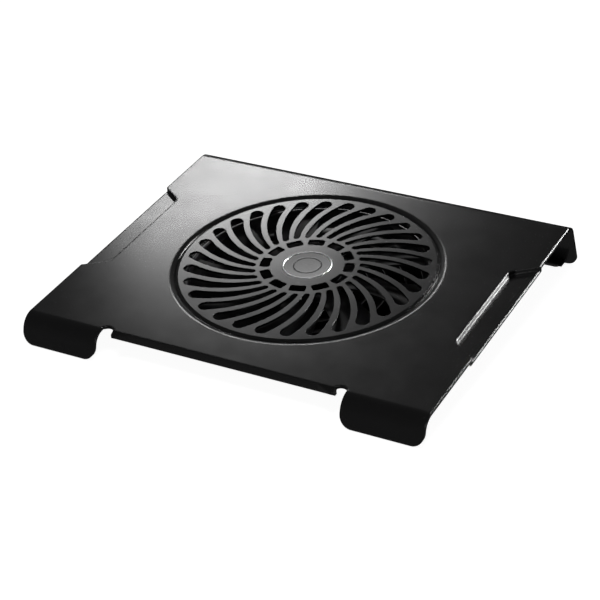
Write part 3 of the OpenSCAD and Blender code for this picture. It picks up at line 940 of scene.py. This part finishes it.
@dataclass
class Badge:
    """The badge on the grille's hub: a bright half-round ring round a plain spun disc.

    Attributes:
        outer: Outer radius of the ring.
        inner: Inner radius of the ring.
        foot: Depth of the ring's foot below the deck's top face.
        crown: Height of the ring's top above the deck's top face.
        dish: How far the disc's middle is dished below its rim.
        rim: Height of the disc's rim.
        bead: Radius of the one raised bead on the disc.
        bead_height: Height of that bead.
    """

    outer: float = 22.55 * MM
    inner: float = 21.3 * MM
    foot: float = 0.95 * MM
    crown: float = 0.4 * MM
    dish: float = 0.18 * MM
    rim: float = -0.15 * MM
    bead: float = 12.6 * MM
    bead_height: float = 0.16 * MM

    def build_ring(self) -> None:
        """Makes the ring: its crown is half an ellipse over the ring's width."""
        middle, half = (self.outer + self.inner) / 2, (self.outer - self.inner) / 2
        turn = np.linspace(0, math.pi, 17)
        shoulder = -0.1 * MM
        crown = np.stack([middle + half * np.cos(turn),
                          shoulder + (self.crown - shoulder) * np.sin(turn)], 1)
        profile = np.vstack([[[self.outer, -self.foot]], crown, [[self.inner, -self.foot]]])
        points, faces = revolve(profile, 180)
        ring = make_piece("badge_bezel", points, faces,
                          Metal("bezel_chrome", (0.88, 0.88, 0.89), 0.36,
                                tarnish=(0.6, 0.6, 0.6)), "base")
        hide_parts("badge_ring")

    def build_disc(self) -> None:
        """Makes the disc: its height is a shallow bowl plus one bell-shaped bead.

        At radius r the height is rim - dish (1 - (r / R)(r / R)) + bead height times the bell
        exp(-((r - bead) / width) squared), with R the disc's own radius.
        """
        radius = self.inner - 0.05 * MM
        r = np.linspace(radius, 0, 90)
        bell = np.exp(-(((r - self.bead) / (0.45 * MM)) ** 2))
        top = self.rim - self.dish * (1 - (r / radius) ** 2) + self.bead_height * bell
        edge = [[radius, -self.foot], [radius, self.rim - 0.1 * MM]]
        profile = np.vstack([[[0.0, -self.foot]], edge, np.stack([r, top], 1)])
        points, faces = revolve(profile, 144)
        disc = make_piece("badge_plate", points, faces,
                          TurnedMetal("plate_spun", (0.04, 0.04, 0.041), 0.24, metallic=0.0),
                          "base")
        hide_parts("badge_disc")

    def build(self) -> None:
        """Makes the badge."""
        self.build_ring()
        self.build_disc()


@dataclass
class FanRotor:
    """The turning half of the fan: blades, steel yoke, magnet, shaft and clip."""

    blade: Colour = (0.004, 0.004, 0.0042)

    def dress(self) -> None:
        """Finishes the rotor's nodes."""
        dress(["impeller"], MouldedPlastic("blade_satin", self.blade, 0.35, edge=0.0005, wear=0.1,
                                           specular=0.06))
        dress(["rotor_yoke"], TurnedMetal("yoke_zinc", (0.5, 0.5, 0.48), 0.32))
        dress(["rotor_magnet"], MouldedPlastic("magnet_ferrite", (0.045, 0.046, 0.05), 0.6,
                                               grain=900.0, depth=0.00001))
        dress(["rotor_shaft", "shaft_clip"], TurnedMetal("shaft_ground", (0.75, 0.75, 0.74), 0.18))


@dataclass
class FanMotor:
    """The still half of the motor, with its coils wound turn by turn.

    Attributes:
        coils: Number of coils.
        near: Distance of a coil's first turn from the axis.
        far: Distance of its last turn.
        half_width: Half the width of a turn, across the arm.
        half_height: Half the height of a turn.
        middle: Height of the coil's middle in the deck's frame.
        wire: Radius of the wire.
        turns: Number of turns.
    """

    coils: int = 4
    near: float = 10.5 * MM
    far: float = 19.5 * MM
    half_width: float = 4.7 * MM
    half_height: float = 3.92 * MM
    middle: float = -14.5 * MM
    wire: float = 0.34 * MM
    turns: int = 13

    def coil(self, bearing: float) -> tuple[np.ndarray, list[list[int]]]:
        """Winds one coil round its arm.

        A turn is a rounded rectangle: with angle a, across = W c |c| to the power -1/2 and up =
        H s |s| to the power -1/2, where c and s are the cosine and sine of a. The distance
        from the axis grows evenly with a, so the turns lie side by side.

        Args:
            bearing: Direction of the arm about the fan's axis, in radians.

        Returns:
            Points in the object's frame, and faces.
        """
        a = np.linspace(0, math.tau * self.turns, 28 * self.turns + 1)
        power = 0.5
        across = self.half_width * np.sign(np.cos(a)) * np.abs(np.cos(a)) ** power
        up = self.half_height * np.sign(np.sin(a)) * np.abs(np.sin(a)) ** power
        out = np.linspace(self.near, self.far, len(a))
        x = out * math.cos(bearing) - across * math.sin(bearing)
        y = out * math.sin(bearing) + across * math.cos(bearing)
        return tube(DECK.place(np.stack([x, y, self.middle + up], 1)), self.wire, 8)

    def build(self) -> None:
        """Makes the coils as one piece."""
        all_points, all_faces, count = [], [], 0
        for number in range(self.coils):
            points, faces = self.coil(math.tau * number / self.coils)
            all_points.append(points)
            all_faces += [[corner + count for corner in face] for face in faces]
            count += len(points)
        coils = make_piece("stator_coils", np.vstack(all_points), all_faces,
                           Enamel("coil_copper", (0.55, 0.2, 0.07), 0.85, 0.28), "base")
        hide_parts("stator_windings")

    def dress(self) -> None:
        """Finishes the motor's nodes."""
        dress(["stator_core"], Laminations("stator_sheets"))
        dress(["stator_insulator", "thrust_pad"],
              MouldedPlastic("natural_nylon", (0.72, 0.68, 0.58), 0.45, worn=(0.5, 0.47, 0.4)))
        dress(["bearing_sleeve"], Metal("sintered_bronze", (0.55, 0.36, 0.16), 0.4,
                                        depth=0.000006))
        dress(["motor_board"], SolderMask("motor_board_mask"))


@dataclass
class FanFrame:
    """The duct with its struts, the guard under it, and their screws."""

    black: Colour = (0.009, 0.009, 0.0093)

    def dress(self) -> None:
        """Finishes the fan's frame."""
        dress(["fan_frame"], MouldedPlastic("duct_black", self.black, 0.38, depth=0.000004,
                                            specular=0.25))
        dress(["bottom_guard"], MouldedPlastic("guard_black", self.black, 0.34, depth=0.000004))
        dress(["fan_screws", "guard_screws"], Metal("screw_black", (0.04, 0.04, 0.041), 0.32,
                                                    tarnish=(0.08, 0.07, 0.06)))


@dataclass
class FanLead:
    """The fan's two wires, from under the motor, along a strut, to the control box.

    Attributes:
        start: Distance of the wires' start from the fan's axis.
        rise_from: Distance where they leave the strut's groove.
        rise_to: Distance where they reach their upper level.
        low: Level in the groove, in the deck's frame.
        high: Level at the control box.
        gap: Half the distance between the wires.
        radius: Radius of one wire.
        bend: Reach of each rounded bend.
        bearing: Direction of the strut that carries them, about the fan's axis, in radians.
    """

    start: float = 15 * MM
    rise_from: float = 113 * MM
    rise_to: float = 124 * MM
    low: float = -21.5 * MM
    high: float = -12.5 * MM
    gap: float = 0.8 * MM
    radius: float = 0.72 * MM
    bend: float = 6 * MM
    bearing: float = math.radians(56.0)

    def build(self) -> None:
        """Makes both wires: they follow the strut that points at the control box."""
        plug_low, plug_high = (DECK.local(corner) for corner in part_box("fan_connector"))
        plug_x = (plug_low[0] + plug_high[0]) / 2
        plug_y = plug_low[1] + 2.2 * MM
        for name, side, colour in (("lead_wire_red", 1, (0.42, 0.012, 0.01)),
                                   ("lead_wire_black", -1, (0.012, 0.012, 0.012))):
            shift = -side * self.gap * np.array([-math.sin(self.bearing), math.cos(self.bearing), 0.0])
            ray = np.array([math.cos(self.bearing), math.sin(self.bearing), 0.0])
            lift = np.array([0.0, 0.0, 1.0])
            corners = np.array([
                ray * self.start + lift * self.low + shift,
                ray * self.rise_from + lift * self.low + shift,
                ray * self.rise_to + lift * self.high + shift,
                [plug_x + side * self.gap, plug_y - 10 * MM, self.high],
                [plug_x + side * self.gap, plug_y, self.high]])
            path = even_path(rounded_path(DECK.place(corners), self.bend, 12), 1.2 * MM)
            points, faces = tube(path, self.radius, 12)
            wire = make_piece(name, points, faces, Enamel(name + "_skin", colour), "base")
            if side > 0:
                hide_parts("fan_lead")


@dataclass
class ControlBox:
    """The box under the back edge, with its board, power socket and switch."""

    black: Colour = (0.009, 0.009, 0.0093)

    def dress(self) -> None:
        """Finishes the control box's nodes."""
        dress(["control_housing"], MouldedPlastic("box_black", self.black, 0.36, depth=0.000004))
        dress(["housing_screws"], Metal("screw_black_box", (0.04, 0.04, 0.041), 0.32))
        dress(["board_screws"], Metal("screw_zinc", (0.6, 0.6, 0.58), 0.25))
        dress(["control_board"], SolderMask("control_board_mask"))
        dress(["fan_connector"], MouldedPlastic("connector_nylon", (0.75, 0.72, 0.64), 0.42,
                                                worn=(0.55, 0.52, 0.46)))
        dress(["power_socket_shell"], Metal("shell_nickel", (0.66, 0.64, 0.6), 0.22,
                                            (2500.0, 300.0, 2500.0)))
        dress(["power_socket_tongue", "switch_body"],
              MouldedPlastic("socket_black", (0.012, 0.012, 0.012), 0.5))
        dress(["switch_knob"], MouldedPlastic("knob_black", (0.008, 0.008, 0.008), 0.3, wear=0.6))


@dataclass
class Feet:
    """The four rubber pads, each a rounded bar with softly turned edges.

    Attributes:
        names: The frame's pads.
        turn: Radius of the turned edges.
    """

    names: Sequence[str] = ("front_left_foot", "front_right_foot", "rear_left_foot",
                            "rear_right_foot")
    turn: float = 0.7 * MM

    def pad(self, low: Sequence[float], high: Sequence[float]) -> tuple[np.ndarray, np.ndarray]:
        """Makes one pad inside a box.

        The outline is a bar with round ends. Rings of it, drawn in by an inset and raised to
        a height, form the skin: quarter circles at both edges, and flat faces that close on
        the bar's middle line.

        Args:
            low: The box's low corner.
            high: The box's high corner.

        Returns:
            Points and faces.
        """
        length, width, height = (b - a for a, b in zip(low, high))
        radius = width / 2
        quarter = np.linspace(0, math.pi / 2, 6)
        inset = np.concatenate([[radius], self.turn * (1 - np.sin(quarter)),
                                self.turn * (1 - np.cos(quarter)), [radius]])
        level = np.concatenate([[0.0], self.turn * (1 - np.cos(quarter)),
                                height - self.turn * (1 - np.sin(quarter)), [height]])
        a = np.linspace(0, math.tau, 64, endpoint=False) + math.tau / 128
        middle = np.sign(np.cos(a)) * (length / 2 - radius)
        x = middle + (radius - inset[:, None]) * np.cos(a)
        y = (radius - inset[:, None]) * np.sin(a)
        z = np.broadcast_to(level[:, None], x.shape)
        centre = [(low[0] + high[0]) / 2, (low[1] + high[1]) / 2, low[2]]
        return np.stack([x, y, z], -1).reshape(-1, 3) + centre, grid_faces(len(inset), 64, False, True)

    def build(self) -> None:
        """Makes the four pads from the boxes of the frame's pads."""
        for name in self.names:
            points, faces = self.pad(*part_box(name))
            pad = make_piece(name + "_rubber", points, faces,
                             Rubber(name + "_skin", (0.014, 0.014, 0.014)), "base")
            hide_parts(name)


def main() -> None:
    """Builds the studio and the pad's sub-assemblies in order."""
    Studio().build()
    Deck().dress()
    Grille().dress()
    Badge().build()
    FanRotor().dress()
    motor = FanMotor()
    motor.build()
    motor.dress()
    FanFrame().dress()
    FanLead().build()
    ControlBox().dress()
    Feet().build()


if __name__ == "__main__":
    logging.basicConfig(level=logging.INFO, format="%(message)s")
    main()
